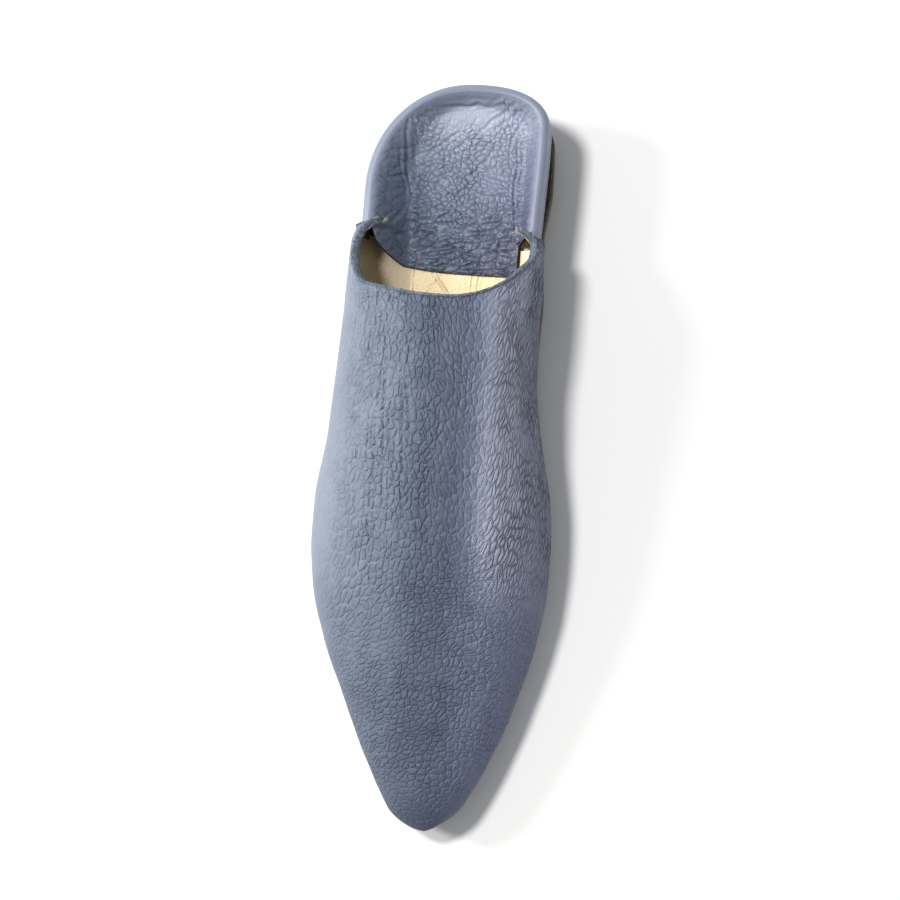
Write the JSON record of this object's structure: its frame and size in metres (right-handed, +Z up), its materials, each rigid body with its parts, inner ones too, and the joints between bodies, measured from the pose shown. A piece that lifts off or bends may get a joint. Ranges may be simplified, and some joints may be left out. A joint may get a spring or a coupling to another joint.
{
  "type": "babouche slipper",
  "caption": "Backless-style leather slipper with a long pointed vamp, a low stacked heel and a heel back folded down flat inside over a cream insole.",
  "frame": {"origin": "on the floor, in the middle of the shoe's box in X and Y", "axes": "-Y towards the toe, +Y towards the heel, +X to the medial side of this right shoe, +Z up"},
  "size_m": [0.0903, 0.28, 0.054],
  "materials": {
    "upper_leather": "pebbled blue-grey leather, semi-matte",
    "insole_leather": "smooth cream leather, matte",
    "lining_leather": "soft cream lining leather, matte",
    "raw_edge": "raw fibrous cut edge, matte",
    "sole_leather": "waxed dark olive-brown sole leather, satin edge",
    "heel_leather": "stacked sole leather, waxed edge",
    "heel_rubber": "matte black rubber",
    "thread": "dark waxed thread"
  },
  "bodies": {
    "root": {"upper": "upper_leather", "heel_flap": "upper_leather", "insole": "insole_leather", "outsole": "sole_leather", "heel_block": "heel_leather", "heel_top_piece": "heel_rubber"}
  },
  "joints": []
}
